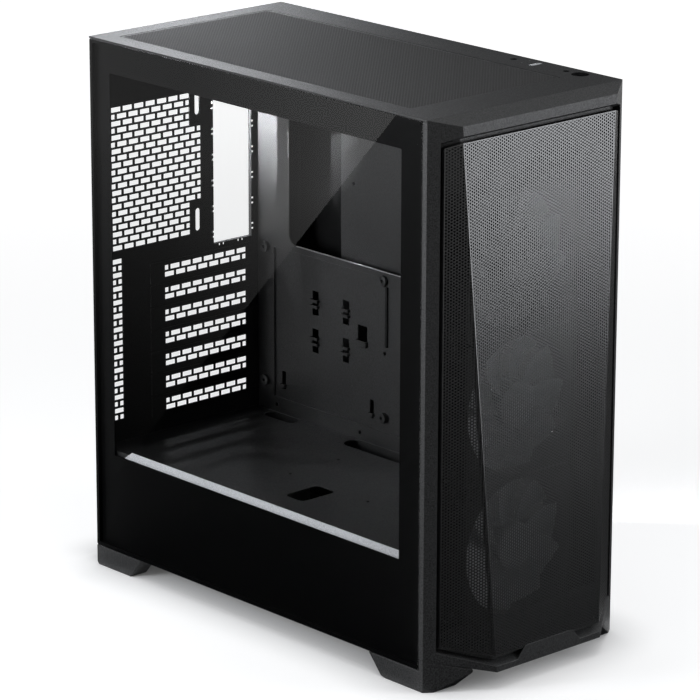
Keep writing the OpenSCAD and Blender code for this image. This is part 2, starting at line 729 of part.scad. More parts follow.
// ---- front bezel ----
// Where y = c + d z crosses z = a + b y
function crossing(a, b, c, d) = let (z = (a + b * c) / (1 - b * d)) [c + d * z, z];
module profile(off) {
    d = tan(front_tilt);
    c = chin_y - d * chin_z + off / cos(front_tilt);
    top_a = case_h - visor_slope * corner_y - off * norm([1, visor_slope]);
    low_a = under_corner_z - under_slope * corner_y + off * norm([1, under_slope]);
    polygon([[rear_y, low_a + under_slope * rear_y], [rear_y, top_a + visor_slope * rear_y],
             crossing(top_a, visor_slope, c, d), crossing(low_a, under_slope, c, d)]);
}
// The bezel's outer form, moved inwards by off
module envelope(off) intersection() {
    sideways(-half_w + off, half_w - off) profile(off);
    linear_extrude(case_h + 100) plan(off);
}
// The window's form: its upper and lower edges lean apart towards the front
module window_prism(half, inset) {
    y0 = chin_y - 10;
    rise = win_slope * (win_y - y0);
    drop = win_slope * (win_y - bezel_back - 5);
    sideways(-half, half)
        polygon([[y0, win_top_z + rise - inset], [bezel_back + 5, win_top_z + drop - inset],
                 [bezel_back + 5, win_low_z - drop + inset], [y0, win_low_z - rise + inset]]);
}
module bezel_frame() color("#37383b") {
    difference() {
        envelope(0);
        block([-half_w - 1, bezel_back, -1], [half_w + 1, rear_y + 1, case_h * 2]);
        // Room for the roof cover
        block([-half_w - 1, corner_y, cover_z - 0.3], [half_w + 1, rear_y, case_h * 2]);
        difference() {
            window_prism(win_half, 0);
            envelope(ledge_off);
        }
        window_prism(win_half - ledge_w, ledge_w);
        block([-fan_size / 2 - 1.5, bezel_back - 2.2, fan_zs[0] - fan_size / 2 - 1.5],
              [fan_size / 2 + 1.5, bezel_back + 1, fan_zs[2] + fan_size / 2 + 1.5]);
        // Hollow of the visor
        block([-84, corner_y - 9.5, win_top_z + 1.5], [84, bezel_back + 1, case_h - 7.5]);
    }
    // Pull tab, in line with the chin's front face
    intersection() {
        difference() {
            envelope(0);
            envelope(1);
        }
        upright(chin_y - 5, corner_y)
            polygon([[-tab_base / 2, 19], [tab_base / 2, 19], [tab_base / 2, 21.5], [tab_top / 2, tab_z],
                     [-tab_top / 2, tab_z], [-tab_base / 2, 21.5]]);
    }
}
module mesh_form(off, inset) {
    y0 = chin_y - 10;
    y1 = bezel_back + 5;
    top_low = win_top_z - mesh_gap - inset;
    low_low = mesh_low_z + inset;
    intersection() {
        envelope(off);
        sideways(-mesh_w / 2 + inset, mesh_w / 2 - inset)
            polygon([[y0, top_low + win_slope * (win_y - y0)], [y1, top_low + win_slope * (win_y - y1)],
                     [y1, low_low + mesh_low_slope * (y1 - mesh_low_y)],
                     [y0, low_low + mesh_low_slope * (y0 - mesh_low_y)]]);
    }
}
// Half the width of the mesh panel's front facet at a height, where the side facets meet it
function facet_half(z) = half_w - (corner_y - chin_y - (z - chin_z) * tan(front_tilt)) / facet_slope;
// Openings of the mesh panel, drawn in X and Z: a grid inside each of the three facets
module mesh_grid() {
    low = mesh_low_z + mesh_bar;
    high = win_top_z - mesh_gap - mesh_bar;
    step_x = (mesh_w - mesh_bar) / mesh_across;
    step_z = (high - low + mesh_bar) / mesh_rows;
    edge = mesh_w / 2 - mesh_bar;
    intersection() {
        for (i = [0:mesh_across - 1], k = [0:mesh_rows - 1])
            translate([-edge + i * step_x, low + k * step_z])
                square([step_x - mesh_bar, step_z - mesh_bar]);
        union() {
            polygon([[-facet_half(low) + mesh_bar, low], [facet_half(low) - mesh_bar, low],
                     [facet_half(high) - mesh_bar, high], [-facet_half(high) + mesh_bar, high]]);
            for (s = [-1, 1])
                polygon([[s * (facet_half(low) + mesh_bar), low], [s * edge, low],
                         [s * edge, high], [s * (facet_half(high) + mesh_bar), high]]);
        }
    }
}
module bezel_mesh() color("#2a2b2e")
    difference() {
        mesh_form(mesh_off, 0);
        mesh_form(mesh_off + mesh_t, mesh_t);
        envelope(ledge_off);
        upright(chin_y - 1, bezel_back) mesh_grid();
    }
module bezel_clips() color("#17181a")
    for (s = [-1, 1], z = clip_zs) along_y(s * clip_x, bezel_back, z) {
        cylinder(r = clip_r, h = 7);
        translate([0, 0, 7]) cylinder(r1 = clip_r, r2 = 1.2, h = 3);
    }

// ---- roof filter ----
module filter_outline(inset)
    rounded([filter_x[0] + inset, filter_y[0] + inset], [filter_x[1] - inset, filter_y[1] - inset],
            filter_r - inset);
module roof_filter_frame() color("#333437")
    translate([0, 0, cover_z + 0.1]) linear_extrude(roof_t - 0.3) difference() {
        filter_outline(filter_gap);
        filter_outline(filter_gap + 3);
    }
module roof_filter_mesh() color("#3a3b3e")
    translate([0, 0, cover_z + 0.5]) linear_extrude(0.5) filter_outline(filter_gap + 3);

// ---- front controls ----
module io_housing() color("#17181a")
    difference() {
        block([io_x0, io_y0, board_z - 3], [io_x1, io_y1, cover_z]);
        block([io_x0 + io_wall, io_y0 + io_wall, board_z - 1.5], [io_x1 - io_wall, io_y1 - io_wall, case_h]);
    }
module io_board() color("#1d4a2c")
    block([io_x0 + io_wall + 0.2, io_y0 + io_wall + 0.2, board_z - 1.5],
          [io_x1 - io_wall - 0.2, io_y1 - io_wall - 0.2, board_z]);
module usb_port() color("#c9ccd0")
    translate([io_strip_x, usb_y, board_z]) {
        base = 3;
        difference() {
            translate([-usb_size[0] / 2, -usb_size[1] / 2, 0])
                cube([usb_size[0], usb_size[1], case_h - board_z - 0.3]);
            translate([-usb_size[0] / 2 + usb_wall, -usb_size[1] / 2 + usb_wall, base])
                cube([usb_size[0] - 2 * usb_wall, usb_size[1] - 2 * usb_wall, case_h]);
        }
        translate([-5.6, 0.2, base]) cube([11.2, 1.8, 12]);
    }
module audio_jack() color("#1b1c1e")
    translate([io_strip_x, jack_y, board_z]) difference() {
        union() {
            translate([-4, -4, 0]) cube([8, 8, 14]);
            cylinder(r = jack_nose_r, h = case_h - board_z - 0.3);
        }
        translate([0, 0, 3]) cylinder(r = jack_r, h = 30);
    }
// Each switch has a well that the button's stem slides in
module button_switches() color("#3a3b3f")
    for (y = [power_y, reset_y]) translate([io_strip_x, y, board_z]) difference() {
        translate([-3.2, -3.2, 0]) cube([6.4, 6.4, 9]);
        translate([0, 0, 9 - button_travel - 1.5]) cylinder(r = stem_r + running, h = 10);
    }
module status_lights() color("#f2f4f6")
    for (i = [0:1]) translate([light_xs[i], light_ys[i], board_z])
        cylinder(r = light_r - 0.1, h = case_h - board_z - 0.2);
module button(r) {
    rest_z = board_z + 8;
    translate([0, 0, cover_z - 2]) cylinder(r = r, h = case_h - cover_z + 1.8);
    translate([0, 0, cover_z - 2]) cylinder(r = r + 0.6, h = 1.8);
    translate([0, 0, rest_z]) cylinder(r = stem_r, h = cover_z - 2 - rest_z);
}
module power_button() color("#1b1c1e") translate([io_strip_x, power_y, 0]) button(power_r);
module reset_button() color("#1b1c1e") translate([io_strip_x, reset_y, 0]) button(reset_r);

// ---- fans ----
module fan_frame(i) color("#1e1f21") along_y(0, fan_y0, fan_zs[i]) {
    half = fan_size / 2;
    difference() {
        linear_extrude(fan_depth) difference() {
            rounded([-half, -half], [half, half], 6);
            circle(bore_r);
            for (x = [-1, 1], y = [-1, 1]) translate([x, y] * fan_hole_pitch / 2) circle(fan_hole_r);
        }
        // Corners are open between the two mounting flanges
        for (a = [0:90:270]) rotate(a) translate([half - 14, half - 14, 4]) difference() {
            cube([15, 15, fan_depth - 8]);
            translate([-(half - 14), -(half - 14), -1]) cylinder(r = bore_r + 3, h = fan_depth);
        }
    }
    // Motor carrier and its four arms
    translate([0, 0, fan_depth - 4]) {
        difference() {
            cylinder(r = hub_r, h = 4);
            translate([0, 0, -1]) cylinder(r = shaft_r + running, h = 3.5);
        }
        for (a = [20:90:290]) rotate(a) translate([hub_r - 1, -1.8, 0]) cube([bore_r - hub_r + 2, 3.6, 3.6]);
    }
}
// A blade has an arc for its section, and leans away from the radius
module blade() {
    steps = 5;
    turn = [for (k = [0:steps]) camber_arc[0] + k * (camber_arc[1] - camber_arc[0]) / steps];
    inner_r = camber_r - blade_t;
    intersection() {
        rotate(blade_lean) sideways(0, bore_r + 10) translate(camber_at)
            polygon(concat([for (a = turn) camber_r * [cos(a), sin(a)]],
                           [for (k = [steps:-1:0]) inner_r * [cos(turn[k]), sin(turn[k])]]));
        difference() {
            translate([0, 0, fan_front]) cylinder(r = bore_r - 1.5, h = fan_depth);
            cylinder(r = hub_r - 0.6, h = fan_depth);
        }
    }
}
module fan_rotor(i) color("#26272a") along_y(0, fan_y0, fan_zs[i]) {
    difference() {
        translate([0, 0, fan_front]) cylinder(r = hub_r, h = fan_depth - 6 - fan_front);
        translate([0, 0, fan_front + 2]) cylinder(r = hub_r - 1.5, h = fan_depth);
    }
    translate([0, 0, fan_front]) cylinder(r = shaft_r, h = fan_depth - 4 + 2 - fan_front);
    for (b = [0:blades - 1]) rotate(b * 360 / blades) blade();
}
module fan_screws() color("#2f3033")
    for (z = fan_zs, x = [-1, 1], s = [-1, 1])
        along_y(x * fan_hole_pitch / 2, 0, z + s * fan_hole_pitch / 2) {
            translate([0, 0, wall_y - 4]) cylinder(r = 2.05, h = 5 + sheet);
            translate([0, 0, wall_y + sheet]) difference() {
                cylinder(r = 4, h = 2.4);
                translate([0, 0, 1]) cylinder(r = 1.6, h = 3);
            }
        }

module chassis_rivets() color("#55575b") {
    for (z = [130:60:430]) along_x(left_x - 0.6, rear_in - 4.5, z) cylinder(r = rivet_r, h = 0.6);
    for (x = [-70, -25, 25, 70]) along_y(x, rear_out, frame_top - 8) cylinder(r = rivet_r, h = 1);
}

rear_panel();
floor_panel();
front_wall();
motherboard_tray();
tray_pressing();
board_standoffs();
psu_shroud();
window_rail();
top_frame();
roof_cover();
side_struts();
ssd_plate();
drive_cage();
color("#3a3b3f") drive_tray(0);  // drive_tray_1
color("#3a3b3f") drive_tray(1);  // drive_tray_2
slot_ledge();
slot_cover(0);  // slot_cover_1
slot_cover(1);  // slot_cover_2
slot_cover(2);  // slot_cover_3
slot_cover(3);  // slot_cover_4
slot_cover(4);  // slot_cover_5
slot_cover(5);  // slot_cover_6
slot_cover(6);  // slot_cover_7
slot_screws();
foot_front_left();
foot_front_right();
foot_rear_left();
foot_rear_right();
foot_pads();
psu_pads();
psu_filter_rails();
psu_filter_frame();
psu_filter_mesh();
panel_sockets();
side_glass();
glass_frame();
glass_studs();
right_panel();
panel_thumbscrews();
bezel_frame();
bezel_mesh();
bezel_clips();
roof_filter_frame();
roof_filter_mesh();
io_housing();
io_board();
usb_port();
audio_jack();
button_switches();
status_lights();
power_button();
reset_button();
fan_frame(0);  // fan_frame_1
fan_frame(1);  // fan_frame_2
fan_frame(2);  // fan_frame_3
fan_rotor(0);  // fan_rotor_1
fan_rotor(1);  // fan_rotor_2
fan_rotor(2);  // fan_rotor_3
fan_screws();
chassis_rivets();
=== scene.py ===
import json
import math
from math import cos, pi, radians, sin, sqrt

import bmesh
import bpy
from mathutils import Matrix, Vector


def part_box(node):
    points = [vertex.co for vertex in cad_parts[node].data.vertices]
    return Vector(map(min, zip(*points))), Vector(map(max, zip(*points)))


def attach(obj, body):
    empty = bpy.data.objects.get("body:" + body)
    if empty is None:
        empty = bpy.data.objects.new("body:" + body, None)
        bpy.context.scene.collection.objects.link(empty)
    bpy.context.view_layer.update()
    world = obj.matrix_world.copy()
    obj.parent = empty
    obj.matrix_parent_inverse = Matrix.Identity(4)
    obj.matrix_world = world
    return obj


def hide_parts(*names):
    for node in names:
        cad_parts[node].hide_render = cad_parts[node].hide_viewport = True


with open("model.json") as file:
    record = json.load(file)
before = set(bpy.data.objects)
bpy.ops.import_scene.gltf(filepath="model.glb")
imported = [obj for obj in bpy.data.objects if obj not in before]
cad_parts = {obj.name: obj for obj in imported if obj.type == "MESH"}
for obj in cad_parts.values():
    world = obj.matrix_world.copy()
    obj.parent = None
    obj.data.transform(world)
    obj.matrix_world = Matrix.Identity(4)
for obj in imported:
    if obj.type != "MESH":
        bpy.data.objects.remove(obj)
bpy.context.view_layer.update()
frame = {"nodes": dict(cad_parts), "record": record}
CAD = frame["nodes"]
MM = 0.001


# ---------------------------------------------------------------- handling
def clear():
    """Nothing selected, object mode."""
    if bpy.context.object and bpy.context.object.mode != "OBJECT":
        bpy.ops.object.mode_set(mode="OBJECT")
    bpy.ops.object.select_all(action="DESELECT")


def take(obj):
    """Selects one object alone and makes it active."""
    clear()
    obj.select_set(True)
    bpy.context.view_layer.objects.active = obj
    return obj


def edit(obj, kind="FACE"):
    """Edit mode on one object, to select faces, edges or vertices."""
    take(obj)
    bpy.ops.object.mode_set(mode="EDIT")
    bpy.ops.mesh.select_mode(type=kind)


def choose(obj, test, kind="FACE"):
    """In edit mode, selects only the faces, edges or vertices that pass the test."""
    form = bmesh.from_edit_mesh(obj.data)
    for items in (form.faces, form.edges, form.verts):
        for item in items:
            item.select_set(False)
    items = {"FACE": form.faces, "EDGE": form.edges, "VERT": form.verts}[kind]
    for item in items:
        if test(item):
            item.select_set(True)
    form.select_flush_mode()
    bmesh.update_edit_mesh(obj.data)


def finish_mesh(obj, angle=30, outward=False):
    """Joined vertices, faces turned outwards when outward is set, smooth up to the angle, object at the origin.
    """
    take(obj)
    bpy.ops.object.transform_apply(location=True, rotation=True, scale=True)
    edit(obj, "VERT")
    bpy.ops.mesh.select_all(action="SELECT")
    bpy.ops.mesh.remove_doubles(threshold=1e-6)
    if outward:
        bpy.ops.mesh.normals_make_consistent(inside=False)
    clear()
    take(obj)
    bpy.ops.object.shade_smooth_by_angle(angle=radians(angle))
    return obj


def use(obj, kind, **settings):
    """Adds a modifier and applies it."""
    take(obj)
    mod = obj.modifiers.new(kind.lower(), kind)
    for key, value in settings.items():
        setattr(mod, key, value)
    bpy.ops.object.modifier_apply(modifier=mod.name)
    return obj


def bevel(obj, width, segments=2, angle=30):
    """Bevels the edges that turn by more than the angle."""
    return use(obj, "BEVEL", width=width, segments=segments, limit_method="ANGLE",
               angle_limit=radians(angle), use_clamp_overlap=True, harden_normals=False)


def block(low, high, width, segments=2):
    """A box between two corners, with bevelled edges."""
    clear()
    bpy.ops.mesh.primitive_cube_add(size=1, location=(low + high) / 2)
    obj = bpy.context.object
    obj.scale = high - low
    bpy.ops.object.transform_apply(location=True, rotation=True, scale=True)
    return bevel(obj, width, segments)


def hoop(sheet, width, way):
    """Makes a flat face into a frame of a width, drawn out along a vector."""
    edit(sheet)
    bpy.ops.mesh.select_all(action="SELECT")
    bpy.ops.mesh.inset(thickness=width)
    bpy.ops.mesh.delete(type="FACE")
    bpy.ops.mesh.select_all(action="SELECT")
    bpy.ops.mesh.extrude_region_move(TRANSFORM_OT_translate={"value": way})
    bpy.ops.mesh.select_all(action="SELECT")
    bpy.ops.mesh.normals_make_consistent(inside=False)
    clear()
    return sheet


def join(objs, name):
    """Joins objects into the first, under a new name."""
    clear()
    for obj in objs:
        obj.select_set(True)
    bpy.context.view_layer.objects.active = objs[0]
    if len(objs) > 1:
        bpy.ops.object.join()
    objs[0].name = objs[0].data.name = name
    return objs[0]


def copied(obj, matrix=Matrix.Identity(4)):
    """A copy with its own mesh, moved by the matrix."""
    twin = bpy.data.objects.new(obj.name, obj.data.copy())
    bpy.context.scene.collection.objects.link(twin)
    twin.data.transform(matrix)
    return twin


def dress(obj, name, material, body, slot, *nodes):
    """Names a finished piece, gives it its material and body, and hides the solids it stands for; the slot is
    not used.
    """
    obj.name = obj.data.name = name
    obj.data.materials.clear()
    obj.data.materials.append(material)
    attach(obj, body)
    if nodes:
        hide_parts(*nodes)
    return obj


def whole(node, name):
    """A copy of a solid whose triangles are joined into flat faces."""
    obj = bpy.data.objects.new(name, CAD[node].data.copy())
    bpy.context.scene.collection.objects.link(obj)
    edit(obj, "VERT")
    bpy.ops.mesh.select_all(action="SELECT")
    bpy.ops.mesh.remove_doubles(threshold=2e-6)
    bpy.ops.mesh.dissolve_limited(angle_limit=radians(0.5))
    clear()
    return obj


def solids_in(node):
    """Boxes of the separate solids in a node, as (low, high) corners."""
    form = bmesh.new()
    form.from_mesh(CAD[node].data)
    bmesh.ops.remove_doubles(form, verts=form.verts, dist=2e-6)
    left, boxes = set(form.verts), []
    while left:
        heap = [left.pop()]
        group = list(heap)
        while heap:
            for edge in heap.pop().link_edges:
                for vert in edge.verts:
                    if vert in left:
                        left.remove(vert)
                        heap.append(vert)
                        group.append(vert)
        lo = Vector(min(v.co[i] for v in group) for i in range(3))
        hi = Vector(max(v.co[i] for v in group) for i in range(3))
        boxes.append((lo, hi))
    form.free()
    return sorted(boxes, key=lambda b: (round(b[0].z, 4), round(b[0].x, 4), round(b[0].y, 4)))


def outline(node, normal):
    """Corners of a node's foremost flat face along a direction, in order round it."""
    normal = normal.normalized()
    data = CAD[node].data
    flat = [p for p in data.polygons if p.normal.dot(normal) > 0.9999]
    far = max(data.vertices[p.vertices[0]].co.dot(normal) for p in flat)
    points = [data.vertices[i].co.copy() for p in flat for i in p.vertices
              if abs(data.vertices[i].co.dot(normal) - far) < 1e-5]
    across = Vector((0, 0, 1)).cross(normal).normalized()
    up = normal.cross(across)
    flat2 = sorted({(round(p.dot(across), 6), round(p.dot(up), 6)) for p in points})

    def half(seq):
        chain = []
        for p in seq:
            while len(chain) > 1:
                a, b = chain[-2], chain[-1]
                turn = (b[0] - a[0]) * (p[1] - a[1]) - (b[1] - a[1]) * (p[0] - a[0])
                if turn > 1e-8:
                    break
                chain.pop()
            chain.append(p)
        return chain[:-1]

    hull = half(flat2) + half(flat2[::-1])
    return [across * p[0] + up * p[1] + normal * far for p in hull], across, up


# ---------------------------------------------------------------- materials
class Nodes:
    """A short hand for a material's node tree."""

    def __init__(self, name):
        self.mat = bpy.data.materials.new(name)
        self.mat.use_nodes = True
        self.tree = self.mat.node_tree
        self.tree.nodes.clear()
        self.out = self.tree.nodes.new("ShaderNodeOutputMaterial")
        self.place = self.tree.nodes.new("ShaderNodeTexCoord").outputs["Object"]

    def add(self, kind, inputs=None, **settings):
        """A node of a kind; each input is a socket to link or a constant."""
        node = self.tree.nodes.new("ShaderNode" + kind)
        for key, value in settings.items():
            setattr(node, key, value)
        for key, value in (inputs or {}).items():
            socket = node.inputs[key]
            if isinstance(value, bpy.types.NodeSocket):
                self.tree.links.new(value, socket)
            else:
                socket.default_value = value
        return node

    def math(self, operation, a, b=0.0, clamp=False):
        return self.add("Math", {0: a, 1: b}, operation=operation, use_clamp=clamp).outputs[0]

    def noise(self, size, detail=2.0, rough=0.5):
        """Fractal noise with a feature size in metres, from 0 to 1."""
        return self.add("TexNoise", {"Vector": self.place, "Scale": 1 / size,
                                     "Detail": detail, "Roughness": rough}).outputs["Fac"]

    def grade(self, value, low, high, to_low=0.0, to_high=1.0):
        """Brings a value from one range to another."""
        return self.add("MapRange", {"Value": value, "From Min": low, "From Max": high,
                                     "To Min": to_low, "To Max": to_high}).outputs["Result"]

    def blend(self, factor, a, b):
        """A colour between two."""
        return self.add("Mix", {0: factor, 6: a, 7: b}, data_type="RGBA").outputs[2]

    def bump(self, height, distance, strength=1.0):
        """Surface relief from a height, with its depth in metres."""
        return self.add("Bump", {"Height": height, "Distance": distance, "Strength": strength}).outputs["Normal"]

    def close(self, shader_socket):
        """Ends the tree at a shader and gives the material."""
        self.tree.links.new(shader_socket, self.out.inputs["Surface"])
        return self.mat


def grey(level, tint=0.0):
    """A neutral colour, a little blue where tint is above 0."""
    return (level, level * (1 + tint * 0.5), level * (1 + tint), 1.0)


def powder_coat(name, level, rough, grain, height, contrast, shine, tint=0.03):
    """Powder-coated steel or grained plastic: fine speckle, orange peel and a soft cloudiness.

    The grain's size and height are in millimetres.
    """
    n = Nodes(name)
    speck = n.noise(grain * MM, 2.0, 0.6)
    fine = n.noise(grain * 0.37 * MM, 1.0, 0.5)
    cloud = n.noise(0.06, 3.0, 0.55)
    mixed = n.math("ADD", n.math("MULTIPLY", speck, 0.6), n.math("MULTIPLY", fine, 0.4))
    spread = n.grade(mixed, 0.38, 0.64)
    dark, light = grey(level * (1 - contrast), tint), grey(level * (1 + 1.6 * contrast), tint)
    colour = n.blend(spread, dark, light)
    colour = n.blend(n.grade(cloud, 0.35, 0.7, 0.0, 0.35), colour, grey(level * 1.25, tint))
    roughness = n.grade(mixed, 0.35, 0.65, rough + 0.12, rough - 0.1)
    bump = n.bump(mixed, height * MM)
    bsdf = n.add("BsdfPrincipled", {"Base Color": colour, "Roughness": roughness,
                                    "Specular IOR Level": shine, "Normal": bump})
    return n.close(bsdf.outputs[0])


def moulded(name, level, rough, coat=0.0, tint=0.03):
    """Smooth moulded plastic with faint flow marks and handling dust."""
    n = Nodes(name)
    flow = n.noise(0.018, 4.0, 0.6)
    dust = n.noise(0.0006, 2.0, 0.6)
    colour = n.blend(n.grade(flow, 0.3, 0.75), grey(level * 0.85, tint), grey(level * 1.2, tint))
    colour = n.blend(n.grade(dust, 0.66, 0.8, 0.0, 0.35), colour, grey(level * 2.2, tint))
    roughness = n.grade(flow, 0.3, 0.7, rough - 0.05, rough + 0.06)
    bsdf = n.add("BsdfPrincipled", {"Base Color": colour, "Roughness": roughness,
                                    "Coat Weight": coat, "Coat Roughness": 0.08,
                                    "Specular IOR Level": 0.3,
                                    "Normal": n.bump(flow, 0.00004, 0.4)})
    return n.close(bsdf.outputs[0])


def printed(name, level, rough, shine):
    """Black print baked on glass: nearly even, with a very fine stipple."""
    n = Nodes(name)
    stipple = n.noise(0.0005, 1.0, 0.5)
    colour = n.blend(stipple, grey(level * 0.9, 0.06), grey(level * 1.1, 0.06))
    roughness = n.grade(n.noise(0.08, 2.0), 0.3, 0.7, rough - 0.02, rough + 0.02)
    bsdf = n.add("BsdfPrincipled", {"Base Color": colour, "Roughness": roughness,
                                    "Specular IOR Level": shine})
    return n.close(bsdf.outputs[0])


def metal(name, level, rough, tint=0.02):
    """Turned or plated metal with a fine tooled grain and a few dull spots."""
    n = Nodes(name)
    scratch = n.noise(0.0005, 3.0, 0.7)
    spots = n.noise(0.004, 2.0, 0.5)
    colour = n.blend(n.grade(scratch, 0.3, 0.7), grey(level * 0.8, tint), grey(level * 1.1, tint))
    roughness = n.grade(spots, 0.35, 0.7, rough - 0.06, rough + 0.12)
    bsdf = n.add("BsdfPrincipled", {"Base Color": colour, "Metallic": 1.0, "Roughness": roughness,
                                    "Normal": n.bump(scratch, 0.00003, 0.5)})
    return n.close(bsdf.outputs[0])


def gauze(name, level, pitch, open_share):
    """Woven nylon gauze: two crossed sets of threads with dark gaps between them."""
    n = Nodes(name)
    turned = n.add("Mapping", {"Vector": n.place, "Rotation": (0, 0, radians(45))}).outputs[0]
    parts = n.add("SeparateXYZ", {"Vector": turned})
    waves = [n.math("COSINE", n.math("MULTIPLY", parts.outputs[i], 2 * pi / (pitch * MM))) for i in (0, 1)]
    hole = n.math("MULTIPLY", n.math("ADD", waves[0], 1.0), n.math("ADD", waves[1], 1.0))
    gap = n.grade(hole, 4 * (1 - open_share), 4 * (1 - open_share) + 0.8)
    cloud = n.noise(0.0021, 3.0, 0.7)
    thread = n.blend(n.grade(cloud, 0.3, 0.7), grey(level * 0.72), grey(level * 1.3))
    colour = n.blend(gap, thread, grey(level * 0.2))
    bsdf = n.add("BsdfPrincipled", {"Base Color": colour, "Roughness": 0.62, "Specular IOR Level": 0.2,
                                    "Normal": n.bump(hole, -0.0002, 0.6)})
    return n.close(bsdf.outputs[0])


def tinted_glass(name, through, tint, shine):
    """A clear pane: straight-through light with a faint smoke, and mirror reflections on its faces."""
    n = Nodes(name)
    smear = n.noise(0.09, 3.0, 0.6)
    smoke = n.blend(n.grade(smear, 0.3, 0.75), (through, through * (1 + tint), through * (1 + tint), 1),
                    grey(through * 0.985))
    clear_part = n.add("BsdfTransparent", {"Color": smoke})
    polish = n.add("BsdfGlossy", {"Color": grey(shine), "Roughness": n.grade(smear, 0.35, 0.7, 0.0, 0.012)})
    edge = n.add("Fresnel", {"IOR": 1.45})
    outer = n.math("SUBTRACT", 1.0, n.add("NewGeometry").outputs["Backfacing"])
    both = n.add("MixShader", {0: n.math("MULTIPLY", edge.outputs[0], outer), 1: clear_part.outputs[0],
                               2: polish.outputs[0]})
    return n.close(both.outputs[0])


def lit_plastic(name, level):
    """A clear light guide with a milky inside."""
    n = Nodes(name)
    milk = n.noise(0.0006, 2.0, 0.5)
    colour = n.blend(milk, grey(level * 0.8), grey(level))
    bsdf = n.add("BsdfPrincipled", {"Base Color": colour, "Roughness": 0.12,
                                    "Coat Weight": 0.6, "Coat Roughness": 0.05})
    return n.close(bsdf.outputs[0])


def lacquered_board(name):
    """Green solder mask over traces, seen only through the roof's openings."""
    n = Nodes(name)
    parts = n.add("SeparateXYZ", {"Vector": n.place})
    stripe = n.math("FRACT", n.math("MULTIPLY", parts.outputs[1], 1 / 0.0024))
    trace = n.grade(stripe, 0.52, 0.6)
    colour = n.blend(trace, (0.012, 0.055, 0.022, 1), (0.03, 0.13, 0.05, 1))
    bsdf = n.add("BsdfPrincipled", {"Base Color": colour, "Roughness": 0.35,
                                    "Normal": n.bump(trace, 0.00005, 0.5)})
    return n.close(bsdf.outputs[0])


SKIN = {
    "black_steel": powder_coat("black_powder_coat", 0.014, 0.5, 0.8, 0.05, 0.4, shine=0.16),
    "tray_steel": powder_coat("tray_powder_coat", 0.014, 0.38, 1.1, 0.22, 0.7, shine=0.7),
    "roof_steel": powder_coat("roof_powder_coat", 0.024, 0.48, 1.1, 0.2, 0.8, shine=0.35),
    "mesh_steel": powder_coat("perforated_steel", 0.016, 0.34, 0.5, 0.02, 0.3, shine=1.0),
    "grained_plastic": powder_coat("grained_plastic", 0.027, 0.44, 1.2, 0.3, 0.85, shine=0.36),
    "fan_plastic": moulded("black_moulding", 0.02, 0.42),
    "rotor_plastic": moulded("rotor_moulding", 0.3, 0.4),
    "gloss_black": moulded("gloss_black_plastic", 0.012, 0.16, coat=0.5),
    "glass_border": printed("printed_black_border", 0.0028, 0.35, 0.05),
    "smoked_glass": tinted_glass("clear_side_glass", 0.95, 0.004, 0.75),
    "stud_steel": metal("turned_studs", 0.09, 0.36),
    # pale_trim is the socket tongue's own pale colour; on the window rail the pale colour is a painted highlight
    # standing in for light falling on the rail.
    "pale_trim": powder_coat("pale_trim_and_painted_rail_light", 0.78, 0.5, 0.9, 0.05, 0.2, shine=0.4),
    "black_screws": metal("black_zinc", 0.1, 0.34),
    "foot_rubber": moulded("pad_rubber", 0.015, 0.8),
    "filter_gauze": gauze("filter_gauze", 0.036, 2.3, 0.42),
    "circuit_board": lacquered_board("circuit_board"),
    "port_metal": metal("port_plating", 0.8, 0.2),
    "light_lens": lit_plastic("light_lens", 0.9),
}
BODY_OF = {node: body for body, nodes in frame["record"]["behaviour"]["bodies"].items() for node in nodes}
SLOT_OF = {part["node"]: part["material_slot"] for part in frame["record"]["subparts"]}
for node, slot in SLOT_OF.items():
    CAD[node].data.materials.clear()
    CAD[node].data.materials.append(SKIN[slot])


def ease(node, width):
    """A solid with its edges eased by a small bevel, in place of the plain one."""
    name, slot = node + "_eased", SLOT_OF[node]
    obj = finish_mesh(bevel(whole(node, name), width * MM))
    use(obj, "WEIGHTED_NORMAL", mode="FACE_AREA", weight=50, keep_sharp=True)
    return dress(obj, name, SKIN[slot], BODY_OF[node], slot, node)


# ---------------------------------------------------------------- perforated front
FACET = radians(35.8)
TILT = radians(2.44)
FRONT = Vector((0, -cos(TILT), sin(TILT)))
LEFT = Vector((-sin(FACET), -cos(FACET), 0))
RIGHT = Vector((sin(FACET), -cos(FACET), 0))
HOLE_PITCH = 2.6 * MM
WEB = 0.98 * MM
SHEET = 0.55 * MM
RIM = 0.7 * MM


